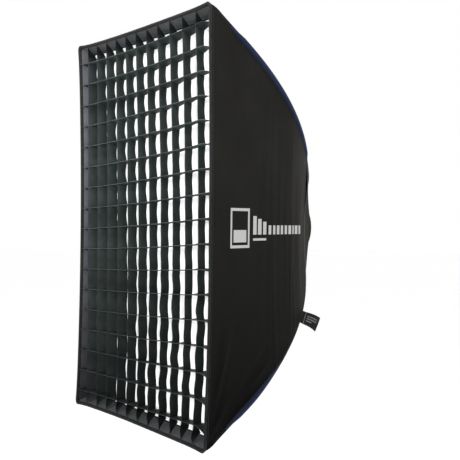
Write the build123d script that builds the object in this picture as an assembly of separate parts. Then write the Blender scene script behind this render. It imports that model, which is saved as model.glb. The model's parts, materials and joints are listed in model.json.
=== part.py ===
from build123d import *
import math
import os

# Quick-folding rectangular softbox for a studio flash head, in millimetres.
# Origin: centre of the bayonet's seating face. +Y points at the flash head, +Z is up along the long side,
# and the fabric grid faces -Y.

# ---- driving dimensions of the bowl ----
HALF_W = 300.0            # half of the front opening's short side, along X
HALF_H = 450.0            # half of the front opening's long side, along Z
SEAT_DEPTH = 460.0        # front plane to the seating face
BOWL_DEPTH = 460.0        # depth at which the bowl's curve would close
BOWL_POWER = 2.25         # exponent of the bowl's curve
CORNER_R = math.hypot(HALF_W, HALF_H)
DIAGONAL = math.degrees(math.atan2(HALF_H, HALF_W))
CORNERS = [DIAGONAL, 180 - DIAGONAL, 180 + DIAGONAL, 360 - DIAGONAL]
CORNER_NAMES = ["top_right", "top_left", "bottom_left", "bottom_right"]
CURVE_STEPS = 14          # spans of a curve over the bowl's whole depth
MIN_STEPS = 4

# ---- cloth ----
SHELL_T = 1.0
LINING_GAP = 0.4
LINING_T = 0.5
LINING_START = 40.0       # the lining begins just behind the front diffuser
HEM_DEPTH = 7.0           # rolled hem at the front edge
HEM_T = 4.0
HEM_CORNER_R = (8.0, 2.0) # outer and inner radius of the hem's corners
PANEL_END = 416.0         # depth at which the panels are sewn to the collar
TAPE_DEPTHS = (8.0, 36.0)
TAPE_T = 1.0
TAPE_GAP = 0.2
DIFFUSER_DEPTH = 38.0
SHEET_T = 0.6
PIPING_R = 4.0
PIPING_GAP = 0.2
PIPING_DEPTHS = (76.0, 412.0)

# ---- grid ----
CELL = 50.0
GRID_FRONT = 3.0
GRID_T = 19.5
GRID_INSET = 4.7
STRIP_T = 0.8
SLOT_PLAY = 0.1

# ---- rear collar ----
COLLAR_T = 1.2
COLLAR_MID_DEPTH = 438.0
COLLAR_END_DEPTH = 453.0
COLLAR_R = 73.0
COLLAR_CORNER_R = (6.0, 10.0)
HEM_BAND_DEPTH = 4.0
HEM_BAND_GAP = 0.4        # between the elastic hem and the hub ring
EYELET_R = 4.5            # hole for the lock screw

# ---- hub: bayonet insert and the ring that turns on it ----
BORE_R = 49.0
INSERT_R = 58.0
FLANGE_R = 61.0
INSERT_FRONT = -20.0
FLANGE_Y = (-16.0, -12.0)
RING_R = 70.0
RING_REAR = -1.0
RUN = 0.05                # radial and axial running clearance
RETAINER_R = 68.0
LUG_STEM_R = (53.0, 56.0)
LUG_TAB_R = 60.0
LUG_REACH = 8.0
LUG_TAB_T = 2.5
LUG_ANGLE = 34.0
LUG_COUNT = 3

# ---- ribs ----
ROD_R = 3.0
ROD_INSET = 13.0          # rod's centre line inside the seam
ROD_ARCS = 6
ROD_START_DEPTH = 446.0   # seam depth beside the rod's root
ROD_END_DEPTH = 74.0      # seam depth beside the start of the straight end
ROD_END_RUN = 24.0
HINGE_BACK = 30.0         # hinge centre behind the rod's first curved point
EYE_R = 6.5
EYE_W = 11.4
PIN_R = 2.0
SOCKET_R = 5.5
SOCKET_SPAN = (9.0, 30.0)
ROD_SEAT = 12.0
TIP_R = 4.5
TIP_LEN = 16.0
POCKET_PLAY = 0.35
POCKET_T = 0.7
POCKET_LEN = 22.0

# ---- brackets, buttons and screws on the hub ----
EAR_T = 2.5
EAR_GAP = 12.0
EAR_R = 7.0
PAD_T = 2.5
PAD_W = 30.0
PAD_Y = (-20.5, -11.5)
PAD_SCREW_Z = 11.4
PAD_SCREW_Y = -14.6
PAD_SCREW_R = (66.0, 71.0) # from the shank's end to the seat of its head
PIN_HEAD_R = 3.0
PIN_HEAD_T = 1.0
BUTTON_RHO = 64.6
BUTTON_STEM_R = 2.5
BUTTON_STEM_Y = (-24.5, -13.0)
BUTTON_POCKET_Y = -9.5
BUTTON_HEAD_R = 4.6
BUTTON_HEAD_T = 3.0
TONGUE_END_RHO = 73.4
TONGUE_W = 5.0
TONGUE_T = 2.0
SPRING_R = 3.6
SPRING_WIRE = 0.35
SPRING_TURNS = 3.5
SCREW_COUNT = 8
SCREW_RHO = 64.5
SCREW_R = 1.4
SCREW_HEAD_R = 2.6
SCREW_HEAD_T = 1.6
SCREW_LEN = 7.0
LOCK_Y = -9.5
LOCK_R = 2.5
LOCK_SPAN = (58.3, 104.0)
KNOB_R = 6.5
KNOB_SPAN = (102.0, 116.0)
KNOB_FLUTES = 10
FLUTE_R = 1.0
FLUTE_RHO = 6.9

# ---- inner baffle and tag ----
BAFFLE_DEPTH = 250.0
BAFFLE_HALF = (150.0, 240.0)
STRAP_W = 12.0
STRAP_T = 1.0
STRAP_END_RHO = 338.0
STRAP_LAP = 8.0           # strap sewn onto the baffle's corner
CLIP_LEN = 14.0
CLIP_T = 3.0
CLIP_HOLE_R = 3.4
CLIP_HOLE_AT = 8.4
TAG_DEPTH = 386.0
TAG_SIZE = (36.0, 43.0)   # along the seam, out from it
TAG_T = 0.8
TAG_ROOT = 9.0            # tag's root outside the seam, clear of the piping


def size_factor(depth):
    """Share of the front opening's size that the bowl still has at a depth."""
    return (1 - depth / BOWL_DEPTH) ** (1 / BOWL_POWER)


def half_at(half, depth):
    return half * size_factor(depth)


def shrink_rate(half, depth):
    """How fast a half-size shrinks per millimetre of depth."""
    return half * size_factor(depth) ** (1 - BOWL_POWER) / (BOWL_DEPTH * BOWL_POWER)


def inner_half(half, depth, inset):
    """Half-size at a depth of a surface that lies inset inside the shell, square to it."""
    return half_at(half, depth) - inset * math.hypot(1, shrink_rate(half, depth))


def to_y(depth):
    return depth - SEAT_DEPTH


def spread(start, end, steps):
    return [start + (end - start) * i / steps for i in range(steps + 1)]


def about_y(shape, angle):
    """Turns a shape built along +X to point at an angle measured from +X towards +Z."""
    return Rot(0, -angle, 0) * shape


def cylinder_y(radius, y_from, y_to, x=0.0, z=0.0):
    axis = Plane(origin=(x, y_from, z), x_dir=(1, 0, 0), z_dir=(0, 1, 0))
    return extrude(axis * Circle(radius), amount=y_to - y_from)


def tube_y(outer, inner, y_from, y_to):
    return cylinder_y(outer, y_from, y_to) - cylinder_y(inner, y_from - 1, y_to + 1)


def block(x, y, z):
    """A box from its limits along each axis."""
    return Pos((x[0] + x[1]) / 2, (y[0] + y[1]) / 2, (z[0] + z[1]) / 2) * Box(
        x[1] - x[0], y[1] - y[0], z[1] - z[0]
    )


def rod_solid(radius, start, end):
    """A round bar between two points."""
    run = Vector(*end) - Vector(*start)
    section = Plane(origin=start, z_dir=run) * Circle(radius)
    return extrude(section, amount=run.length)


def save(name, *solids):
    shape = solids[0] if len(solids) == 1 else Compound(children=list(solids))
    export_step(shape, os.path.join("parts", name + ".step"))


def sector(half, other):
    """The share of space around +X between the diagonals of a rectangle of these half-sizes."""
    face = Plane.XZ * Polygon((0, 0), (2 * half, -2 * other), (2 * half, 2 * other), align=None)
    return extrude(face, amount=2 * SEAT_DEPTH, both=True)


def four_sides(side, top):
    """The right and top parts, both built along +X, in all four places around the axis."""
    return {
        "right": side,
        "top": about_y(top, 90),
        "left": about_y(side, 180),
        "bottom": about_y(top, 270),
    }


# ---------------------------------------------------------------- cloth walls
def wall(half, other, depths, insets):
    """The +X wall of the bowl between two depths and two insets, mitred where it meets its neighbours."""
    steps = max(MIN_STEPS, round(CURVE_STEPS * (depths[1] - depths[0]) / BOWL_DEPTH))
    stations = spread(depths[0], depths[1], steps)
    outer = [(inner_half(half, d, insets[0]), to_y(d)) for d in stations]
    inner = [(inner_half(half, d, insets[1]), to_y(d)) for d in stations]
    outline = [
        Spline(*outer),
        Line(outer[-1], inner[-1]),
        Spline(*inner[::-1]),
        Line(inner[0], outer[0]),
    ]
    sheet = extrude(make_face(outline), amount=other, both=True)
    return sheet & sector(half, other)


def four_walls(depths, insets):
    return four_sides(wall(HALF_W, HALF_H, depths, insets), wall(HALF_H, HALF_W, depths, insets))


def frame_ring(depths, insets):
    """A closed band around the opening, with rounded corners, straight along Y."""
    mid = sum(depths) / 2
    outer = [2 * inner_half(h, mid, insets[0]) for h in (HALF_W, HALF_H)]
    inner = [2 * inner_half(h, mid, insets[1]) for h in (HALF_W, HALF_H)]
    plane = Plane(origin=(0, to_y(depths[0]), 0), x_dir=(1, 0, 0), z_dir=(0, 1, 0))
    face = RectangleRounded(*outer, HEM_CORNER_R[0]) - RectangleRounded(*inner, HEM_CORNER_R[1])
    return extrude(plane * face, amount=depths[1] - depths[0])


def flat_sheet(half_x, half_z, depth, thickness):
    return block((-half_x, half_x), (to_y(depth), to_y(depth) + thickness), (-half_z, half_z))


def make_shell():
    for name, solid in four_walls((HEM_DEPTH, PANEL_END), (0, SHELL_T)).items():
        save("shell_panel_" + name, solid)
    lining_from = SHELL_T + LINING_GAP
    lining = four_walls((LINING_START, PANEL_END), (lining_from, lining_from + LINING_T))
    for name, solid in lining.items():
        save("lining_panel_" + name, solid)
    tape_from = SHELL_T + TAPE_GAP
    tape = four_walls(TAPE_DEPTHS, (tape_from, tape_from + TAPE_T))
    save("lip_loop_tape", *tape.values())
    save("front_hem", frame_ring((0, HEM_DEPTH), (0, HEM_T)))
    inset = tape_from + TAPE_T + TAPE_GAP
    diffuser_half = [inner_half(h, DIFFUSER_DEPTH, inset) for h in (HALF_W, HALF_H)]
    save("front_diffuser", flat_sheet(*diffuser_half, DIFFUSER_DEPTH, SHEET_T))


def collar_loft(inset):
    """The collar's outer or inner skin, from the panels' rectangle to the hub's circle."""
    sections = []
    for depth, radius in zip((PANEL_END, COLLAR_MID_DEPTH), COLLAR_CORNER_R):
        width, height = [2 * (half_at(h, depth) - inset) for h in (HALF_W, HALF_H)]
        sections.append((depth, RectangleRounded(width, height, radius)))
    side = 2 * (COLLAR_R - inset)
    nearly_round = side / 2 - 0.1
    sections.append((COLLAR_END_DEPTH, RectangleRounded(side, side, nearly_round)))
    planes = [
        Plane(origin=(0, to_y(d), 0), x_dir=(1, 0, 0), z_dir=(0, 1, 0)) * face
        for d, face in sections
    ]
    return loft(planes, ruled=True)


def make_collar():
    """Four gores sewn at the corners, and the elastic hem that gathers them round the hub ring."""
    eyelet = rod_solid(EYELET_R, (0, LOCK_Y, -RING_R), (0, LOCK_Y, -KNOB_SPAN[0]))
    collar = collar_loft(0) - collar_loft(COLLAR_T) - eyelet
    sectors = four_sides(sector(HALF_W, HALF_H), sector(HALF_H, HALF_W))
    for name, share in sectors.items():
        save("rear_collar_" + name, collar & share)
    band_y = (to_y(COLLAR_END_DEPTH), to_y(COLLAR_END_DEPTH + HEM_BAND_DEPTH))
    save("collar_hem_band", tube_y(COLLAR_R, RING_R + HEM_BAND_GAP, *band_y))


# ---------------------------------------------------------------- grid
def comb(length_half, back_half, positions, notch_front):
    """A strip along X, from front to back in Y, with a half-depth slot at each crossing."""
    front, back = to_y(GRID_FRONT), to_y(GRID_FRONT + GRID_T)
    middle = (front + back) / 2
    notch = STRIP_T / 2 + SLOT_PLAY
    front_edge, back_edge = [(-length_half, front)], [(-back_half, back)]
    edge = front_edge if notch_front else back_edge
    level = front if notch_front else back
    for p in positions:
        edge += [(p - notch, level), (p - notch, middle), (p + notch, middle), (p + notch, level)]
    front_edge.append((length_half, front))
    back_edge.append((back_half, back))
    outline = make_face(Polyline(*front_edge, *back_edge[::-1], close=True))
    return extrude(outline, amount=STRIP_T / 2, both=True)


def grid_lines(half):
    count = round(half / CELL) - 1
    return [CELL * i for i in range(-count, count + 1)]


def strip_half(half, depth):
    return inner_half(half, depth, GRID_INSET + STRIP_T) - SLOT_PLAY


def make_grid():
    back = GRID_FRONT + GRID_T
    across, up = grid_lines(HALF_W), grid_lines(HALF_H)
    level = comb(strip_half(HALF_W, GRID_FRONT), strip_half(HALF_W, back), across, False)
    upright = comb(strip_half(HALF_H, GRID_FRONT), strip_half(HALF_H, back), up, True)
    upright = about_y(upright, 90)
    save("grid_strips_horizontal", *[Pos(0, 0, z) * level for z in up])
    save("grid_strips_vertical", *[Pos(x, 0, 0) * upright for x in across])
    border = four_walls((GRID_FRONT, back), (GRID_INSET, GRID_INSET + STRIP_T))
    save("grid_border", *border.values())


# ---------------------------------------------------------------- ribs
def seam_point(depth, inset):
    """A point in a rib's own plane, as (distance from the axis, y), inset square to the seam."""
    rate = shrink_rate(CORNER_R, depth)
    length = math.hypot(1, rate)
    return (half_at(CORNER_R, depth) - inset / length, to_y(depth) - inset * rate / length)


def seam_direction(depth):
    """Unit direction along the seam towards the front corner."""
    rate = shrink_rate(CORNER_R, depth)
    length = math.hypot(1, rate)
    return (rate / length, -1 / length)


def along(point, direction, distance):
    return (point[0] + direction[0] * distance, point[1] + direction[1] * distance)


ROOT_DIR = seam_direction(ROD_START_DEPTH)
ROD_START = seam_point(ROD_START_DEPTH, ROD_INSET)
HINGE = along(ROD_START, ROOT_DIR, -HINGE_BACK)


def arc_chain(points, direction):
    """Arcs through the points, each starting in the direction in which the last one ended."""
    edges = []
    for start, end in zip(points, points[1:]):
        arc = TangentArc(start, end, tangent=direction)
        edges.append(arc)
        direction = arc % 1
    return edges, direction


def curved_bar(radius, depths, inset, arcs, lead_in=0.0, lead_out=0.0):
    """A round bar along the seam at an inset, with straight ends; also gives its end and direction there."""
    stations = spread(size_factor(depths[0]), size_factor(depths[1]), arcs)
    points = [seam_point(BOWL_DEPTH * (1 - f**BOWL_POWER), inset) for f in stations]
    direction = seam_direction(depths[0])
    edges, last = arc_chain(points, direction)
    start, end = points[0], points[-1]
    last = (last.X, last.Y)
    if lead_in:
        start = along(start, direction, -lead_in)
        edges.insert(0, Line(start, points[0]))
    if lead_out:
        end = along(end, last, lead_out)
        edges.append(Line(points[-1], end))
    section = Plane(origin=(*start, 0), z_dir=(*direction, 0)) * Circle(radius)
    return sweep(section, path=Wire(edges)), end, last


def in_rib_plane(point):
    return (point[0], point[1], 0)


def make_rib(angle, corner):
    eye = Pos(*in_rib_plane(HINGE)) * Cylinder(EYE_R, EYE_W)
    socket_start = along(HINGE, ROOT_DIR, SOCKET_SPAN[0] - EYE_R)
    socket_end = along(HINGE, ROOT_DIR, SOCKET_SPAN[1])
    barrel = rod_solid(SOCKET_R, in_rib_plane(socket_start), in_rib_plane(socket_end))
    pin_hole = Pos(*in_rib_plane(HINGE)) * Cylinder(PIN_R + RUN, EYE_W * 2)
    rod_seat = along(HINGE, ROOT_DIR, ROD_SEAT)
    bore = rod_solid(ROD_R, in_rib_plane(rod_seat), in_rib_plane(along(socket_end, ROOT_DIR, 1)))
    save("rib_knuckle_" + corner, about_y(eye + barrel - bore - pin_hole, angle))

    rod, end, last = curved_bar(
        ROD_R, (ROD_START_DEPTH, ROD_END_DEPTH), ROD_INSET, ROD_ARCS, HINGE_BACK - ROD_SEAT, ROD_END_RUN
    )
    save("rib_rod_" + corner, about_y(rod, angle))

    tip_start = along(end, last, -TIP_LEN + TIP_R)
    cap = rod_solid(TIP_R, in_rib_plane(tip_start), in_rib_plane(end))
    cap += Pos(*in_rib_plane(end)) * Sphere(TIP_R)
    cap -= rod_solid(ROD_R, in_rib_plane(along(tip_start, last, -1)), in_rib_plane(end))
    save("rib_tip_" + corner, about_y(cap, angle))
    return end, last


def pocket(end, last, angle):
    """The sleeve sewn into a front corner that takes a rib's tip."""
    inner_r = TIP_R + POCKET_PLAY
    outer_r = inner_r + POCKET_T
    start = along(end, last, TIP_R - POCKET_LEN)
    sleeve = rod_solid(outer_r, in_rib_plane(start), in_rib_plane(end))
    sleeve += Pos(*in_rib_plane(end)) * Sphere(outer_r)
    hollow = rod_solid(inner_r, in_rib_plane(along(start, last, -1)), in_rib_plane(end))
    hollow += Pos(*in_rib_plane(end)) * Sphere(inner_r)
    return about_y(sleeve - hollow, angle)


def make_ribs():
    pockets = []
    for angle, corner in zip(CORNERS, CORNER_NAMES):
        end, last = make_rib(angle, corner)
        pockets.append(pocket(end, last, angle))
        piping, _, _ = curved_bar(PIPING_R, PIPING_DEPTHS[::-1], -PIPING_R - PIPING_GAP, ROD_ARCS)
        save("seam_piping_" + corner, about_y(piping, angle))
    save("corner_pockets", *pockets)


# ---------------------------------------------------------------- hub
def bayonet_lugs():
    """Three hooked lugs behind the seating face, which turn behind the flash head's own tabs."""
    step = 360 / LUG_COUNT
    ring = tube_y(LUG_STEM_R[1], LUG_STEM_R[0], 0, LUG_REACH)
    ring += tube_y(LUG_TAB_R, LUG_STEM_R[0], LUG_REACH - LUG_TAB_T, LUG_REACH)
    half = math.radians(LUG_ANGLE / 2)
    reach = LUG_TAB_R * 1.5
    wedge = Plane.XZ * Polygon(
        (0, 0), (reach * math.cos(half), -reach * math.sin(half)),
        (reach * math.cos(half), reach * math.sin(half)), align=None,
    )
    sector = extrude(wedge, amount=2 * LUG_REACH, both=True)
    lug = ring & sector
    return [about_y(lug, 90 + step * i) for i in range(LUG_COUNT)]


def make_insert():
    body = tube_y(INSERT_R, BORE_R, INSERT_FRONT, 0) + tube_y(FLANGE_R, BORE_R, *FLANGE_Y)
    for lug in bayonet_lugs():
        body += lug
    save("mount_insert", body)


def screw_places():
    step = 360 / SCREW_COUNT
    return [step * (i + 0.5) for i in range(SCREW_COUNT)]


def make_hub():
    retainer_y = (INSERT_FRONT, FLANGE_Y[0] - RUN)
    ring = tube_y(RING_R, FLANGE_R + RUN, retainer_y[1], FLANGE_Y[1] + RUN)
    ring += tube_y(RING_R, INSERT_R + RUN, FLANGE_Y[1] + RUN, RING_REAR)
    retainer = tube_y(RETAINER_R, INSERT_R + RUN, *retainer_y)
    ring -= rod_solid(LOCK_R + RUN, (0, LOCK_Y, -INSERT_R), (0, LOCK_Y, -RING_R - 1))
    screw_end = INSERT_FRONT + SCREW_LEN
    screw_hole = cylinder_y(SCREW_R + RUN, INSERT_FRONT - 1, screw_end, x=SCREW_RHO)
    button_hole = cylinder_y(BUTTON_STEM_R + RUN, INSERT_FRONT - 1, BUTTON_POCKET_Y, x=BUTTON_RHO)
    holes = [about_y(screw_hole, angle) for angle in screw_places()]
    holes += [about_y(button_hole, angle) for angle in CORNERS]
    for hole in holes:
        ring -= hole
        retainer -= hole
    for angle in CORNERS:
        for z in (-PAD_SCREW_Z, PAD_SCREW_Z):
            ring -= about_y(pad_screw_hole(z), angle)
    save("hub_ring", ring)
    save("retaining_ring", retainer)
    screw = cylinder_y(SCREW_R, INSERT_FRONT, screw_end, x=SCREW_RHO)
    screw += cylinder_y(SCREW_HEAD_R, INSERT_FRONT - SCREW_HEAD_T, INSERT_FRONT, x=SCREW_RHO)
    socket = Plane(origin=(SCREW_RHO, INSERT_FRONT - SCREW_HEAD_T, 0), z_dir=(0, 1, 0))
    screw -= extrude(socket * RegularPolygon(SCREW_R, 6), amount=SCREW_HEAD_T / 2)
    save("retaining_screws", *[about_y(screw, angle) for angle in screw_places()])


def pad_screw(z):
    """A screw along X that fastens a bracket's pad on the ring's rim."""
    tip, seat = PAD_SCREW_R
    shank = rod_solid(SCREW_R, (tip, PAD_SCREW_Y, z), (seat, PAD_SCREW_Y, z))
    return shank + rod_solid(SCREW_HEAD_R, (seat, PAD_SCREW_Y, z), (seat + SCREW_HEAD_T, PAD_SCREW_Y, z))


def pad_screw_hole(z):
    """Clearance for that screw, with a sink for its head."""
    tip, seat = PAD_SCREW_R
    hole = rod_solid(SCREW_R + RUN, (tip - RUN, PAD_SCREW_Y, z), (seat + PAD_T, PAD_SCREW_Y, z))
    return hole + rod_solid(SCREW_HEAD_R + RUN, (seat, PAD_SCREW_Y, z), (seat + 2 * PAD_T, PAD_SCREW_Y, z))


def bracket():
    """A clevis along +X: a curved pad on the ring's rim and two ears that hold the hinge pin."""
    pad = block((RING_R - 2 * PAD_T, RING_R + PAD_T), PAD_Y, (-PAD_W / 2, PAD_W / 2))
    solid = pad - cylinder_y(RING_R, PAD_Y[0] - 1, PAD_Y[1] + 1)
    for side in (-1, 1):
        middle = side * (EAR_GAP + EAR_T) / 2
        span = (middle - EAR_T / 2, middle + EAR_T / 2)
        solid += Pos(HINGE[0], HINGE[1], middle) * Cylinder(EAR_R, EAR_T)
        solid += block((RING_R + PAD_T / 2, HINGE[0]), PAD_Y, span)
        solid -= pad_screw_hole(side * PAD_SCREW_Z)
    return solid - Pos(*in_rib_plane(HINGE)) * Cylinder(PIN_R + RUN, PAD_W)


def make_brackets():
    clevis = bracket()
    save("rib_brackets", *[about_y(clevis, angle) for angle in CORNERS])
    screws = [pad_screw(-PAD_SCREW_Z), pad_screw(PAD_SCREW_Z)]
    save("bracket_screws", *[about_y(screw, angle) for angle in CORNERS for screw in screws])
    pin_half = EAR_GAP / 2 + EAR_T
    pin = Pos(*in_rib_plane(HINGE)) * Cylinder(PIN_R, 2 * pin_half)
    for side in (-1, 1):
        head_z = side * (pin_half + PIN_HEAD_T / 2)
        pin += Pos(HINGE[0], HINGE[1], head_z) * Cylinder(PIN_HEAD_R, PIN_HEAD_T)
    save("rib_hinge_pins", *[about_y(pin, angle) for angle in CORNERS])


def release_button():
    """A sprung push button along +X from the axis, with a tongue that reaches to the knuckle's heel."""
    stem = cylinder_y(BUTTON_STEM_R, *BUTTON_STEM_Y, x=BUTTON_RHO)
    head_y = (BUTTON_STEM_Y[0] - BUTTON_HEAD_T, BUTTON_STEM_Y[0])
    head = cylinder_y(BUTTON_HEAD_R, *head_y, x=BUTTON_RHO)
    tongue = block(
        (BUTTON_RHO, TONGUE_END_RHO), (head_y[0], head_y[0] + TONGUE_T), (-TONGUE_W / 2, TONGUE_W / 2)
    )
    return stem + head + tongue


def button_spring():
    gap = INSERT_FRONT - BUTTON_STEM_Y[0]
    height = gap - 2 * SPRING_WIRE - 0.1
    path = Helix(pitch=height / SPRING_TURNS, height=height, radius=SPRING_R)
    wire = sweep(Plane(origin=path @ 0, z_dir=path % 0) * Circle(SPRING_WIRE), path=path)
    base = BUTTON_STEM_Y[0] + SPRING_WIRE + 0.05
    place = Plane(origin=(BUTTON_RHO, base, 0), x_dir=(1, 0, 0), z_dir=(0, 1, 0))
    return place.location * wire


def make_buttons():
    button, spring = release_button(), button_spring()
    for angle, corner in zip(CORNERS, CORNER_NAMES):
        save("release_button_" + corner, about_y(button, angle))
        save("button_spring_" + corner, about_y(spring, angle))


def make_lock():
    """A thumb screw below the hub that clamps the ring on the insert."""
    screw = rod_solid(LOCK_R, (0, LOCK_Y, -LOCK_SPAN[0]), (0, LOCK_Y, -LOCK_SPAN[1]))
    knob = rod_solid(KNOB_R, (0, LOCK_Y, -KNOB_SPAN[0]), (0, LOCK_Y, -KNOB_SPAN[1]))
    knob -= rod_solid(LOCK_R, (0, LOCK_Y, -KNOB_SPAN[0] + 1), (0, LOCK_Y, -LOCK_SPAN[1]))
    for i in range(KNOB_FLUTES):
        turn = 2 * math.pi * i / KNOB_FLUTES
        x, y = FLUTE_RHO * math.cos(turn), LOCK_Y + FLUTE_RHO * math.sin(turn)
        knob -= rod_solid(FLUTE_R, (x, y, -KNOB_SPAN[0] - 2), (x, y, -KNOB_SPAN[1] - 1))
    save("lock_screw", screw)
    save("lock_knob", knob)


# ---------------------------------------------------------------- inner baffle and tag
def make_baffle():
    half_x, half_z = BAFFLE_HALF
    save("inner_baffle", flat_sheet(half_x, half_z, BAFFLE_DEPTH, SHEET_T))
    start = math.hypot(half_x, half_z)
    y = to_y(BAFFLE_DEPTH)
    baffle_angle = math.degrees(math.atan2(half_z, half_x))
    signs = [baffle_angle, 180 - baffle_angle, 180 + baffle_angle, 360 - baffle_angle]
    strap = block((start - STRAP_LAP, STRAP_END_RHO), (y - STRAP_T, y), (-STRAP_W / 2, STRAP_W / 2))
    clip = block(
        (STRAP_END_RHO, STRAP_END_RHO + CLIP_LEN), (y - CLIP_T, y + CLIP_T), (-STRAP_W / 2, STRAP_W / 2)
    )
    clip -= cylinder_y(CLIP_HOLE_R, y - 2 * CLIP_T, y + 2 * CLIP_T, x=STRAP_END_RHO + CLIP_HOLE_AT)
    save("baffle_straps", *[about_y(strap, a) for a in signs])
    save("baffle_clips", *[about_y(clip, a) for a in signs])


def make_tag():
    """The sewn-in cloth tag, standing out from the lower right seam."""
    direction = seam_direction(TAG_DEPTH)
    outward = (-direction[1], direction[0])
    root = seam_point(TAG_DEPTH, -TAG_ROOT)
    corners = [
        root,
        along(root, direction, TAG_SIZE[0]),
        along(along(root, direction, TAG_SIZE[0]), outward, TAG_SIZE[1]),
        along(root, outward, TAG_SIZE[1]),
    ]
    tag = extrude(make_face(Polyline(*corners, close=True)), amount=TAG_T / 2, both=True)
    save("sewn_tag", about_y(tag, CORNERS[3]))


os.makedirs("parts", exist_ok=True)
make_shell()
make_collar()
make_grid()
make_ribs()
make_insert()
make_hub()
make_brackets()
make_lock()
make_buttons()
make_baffle()
make_tag()
print("hinge at", [round(v, 3) for v in HINGE], "diagonal", round(DIAGONAL, 3))
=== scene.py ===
"""Looks of the quick-folding softbox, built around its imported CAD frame. Metres, in the CAD's own frame."""

import json
import math
import random

import bpy
import numpy as np
from mathutils import Matrix, Vector

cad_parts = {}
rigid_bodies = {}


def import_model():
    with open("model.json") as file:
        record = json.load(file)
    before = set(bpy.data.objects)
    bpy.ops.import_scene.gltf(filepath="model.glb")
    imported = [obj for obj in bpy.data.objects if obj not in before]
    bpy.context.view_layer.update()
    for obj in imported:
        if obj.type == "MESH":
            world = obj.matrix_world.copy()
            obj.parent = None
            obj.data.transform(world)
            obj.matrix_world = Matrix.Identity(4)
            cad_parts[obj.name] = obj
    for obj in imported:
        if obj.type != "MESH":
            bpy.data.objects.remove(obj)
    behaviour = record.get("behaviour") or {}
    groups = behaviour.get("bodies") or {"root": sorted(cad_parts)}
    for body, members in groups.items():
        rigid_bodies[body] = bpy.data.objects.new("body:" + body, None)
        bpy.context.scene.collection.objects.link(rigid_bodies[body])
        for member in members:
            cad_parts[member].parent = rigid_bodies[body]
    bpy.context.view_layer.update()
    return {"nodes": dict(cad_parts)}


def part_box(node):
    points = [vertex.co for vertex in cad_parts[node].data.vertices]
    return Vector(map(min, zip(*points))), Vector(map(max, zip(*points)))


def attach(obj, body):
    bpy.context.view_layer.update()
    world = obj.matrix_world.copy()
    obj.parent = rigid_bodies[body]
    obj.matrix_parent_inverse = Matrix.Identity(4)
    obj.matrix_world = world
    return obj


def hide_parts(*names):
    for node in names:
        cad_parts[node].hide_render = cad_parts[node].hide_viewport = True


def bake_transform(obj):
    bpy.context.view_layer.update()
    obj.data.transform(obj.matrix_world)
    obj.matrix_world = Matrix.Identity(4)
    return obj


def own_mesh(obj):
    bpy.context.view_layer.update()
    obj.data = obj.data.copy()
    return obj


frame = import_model()
NODES = frame["nodes"]

# ---------------------------------------------------------------- the bowl's geometry
SEAT_DEPTH = -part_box("front_hem")[0].y  # front plane to the seating face
HALF = {"x": 0.300, "z": 0.450}  # half sizes of the front opening
BOWL_DEPTH = 0.460  # depth at which the bowl's curve would close
BOWL_POWER = 2.25  # roundness of that curve
HEM_DEPTH = 0.007  # the walls start here, inside the hem
PANEL_END = 0.416  # the walls end here, at the collar
DIAGONAL = math.atan2(HALF["z"], HALF["x"])
CORNERS = {"top_right": (1, 1), "top_left": (-1, 1), "bottom_left": (-1, -1), "bottom_right": (1, -1)}
SIDES = {"right": ("x", 1), "top": ("z", 1), "left": ("x", -1), "bottom": ("z", -1)}
OTHER = {"x": "z", "z": "x"}

# sheets inside the bowl, by depth, and the collar
DIFFUSER_DEPTH = 0.038
DIFFUSER_INSET = 0.0026
BAFFLE_DEPTH = 0.250
NYLON_T = 0.0005  # thickness of the diffuser, the baffle and the lining
COLLAR_MID_DEPTH = 0.438
COLLAR_END_DEPTH = 0.453
COLLAR_R = 0.073
HEM_GATHERS = 44  # gathers in the collar's elastic hem
COLLAR_BILLOW = 0.0065  # slack of the collar's cloth behind its upper corners

# grid
CELL = 0.050  # from one strip to the next
COLUMNS = 5  # uprights on each side of the middle one
ROWS = 8  # level strips above and below the middle one
GRID_FRONT = 0.0022  # depth of the strips' front edges
GRID_T = 0.0230  # width of a strip, front to back
GRID_INSET = 0.0055  # the strips' ends, inside the walls
STRIP_T = 0.0008
STRIP_STATIONS = 7  # points across a strip
END_WEDGE = 0.012  # a level strip's back edge hangs by this at the border
END_SLANT = (0.012, 0.017)  # an upright's back corners fall short of its front ones, below and above
TOP_SPREAD = 0.002  # an upright's back edge stands this far beside its front one at the top

# how the cloth sits between the ribs
HEM_BACK = {"z": 0.009, "x": 0.004}  # front edge set back at the middle of the long sides, and of the ends
BACK_FADE = 0.20  # depth over which that setback dies out
WALL_PULL = 0.010  # walls drawn in between the ribs
FOLD_HEIGHT = 0.0017  # height of the walls' creases
PUCKER = 0.0006  # height of the puckers along a seam
PUCKER_PITCH = 0.0135
CORNER_FLARE = 0.0050  # front corners pushed out by the ribs
LOW_LEFT_DROP = 0.0050  # the lower left corner hangs lower
TOP_SAG = 0.0020  # the top edge sags between its corners
LEFT_FORWARD, LEFT_TILT = 0.0032, 0.0020  # left front edge stands forward, more so at its top
RIGHT_BACK, RIGHT_LOW = 0.0034, 0.0020  # right front edge stands back, more so below its middle
SETTLE_FADE = 0.15  # depth over which those five die out
CORNER_ROUND = 0.018  # the front corners are rounded within this of the ribs
ROUND_FADE = 0.030  # depth over which that rounding dies out

# each point's share of its rib's turn
RIGID_SHARE = 0.92  # beyond this share of the way to a rib, cloth takes the rib's whole turn
FOLD_EASE = 0.18  # how much more than its share cloth turns on the way to the rib
COLLAR_STILL = 0.085  # radius within which the collar doesn't fold

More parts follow.
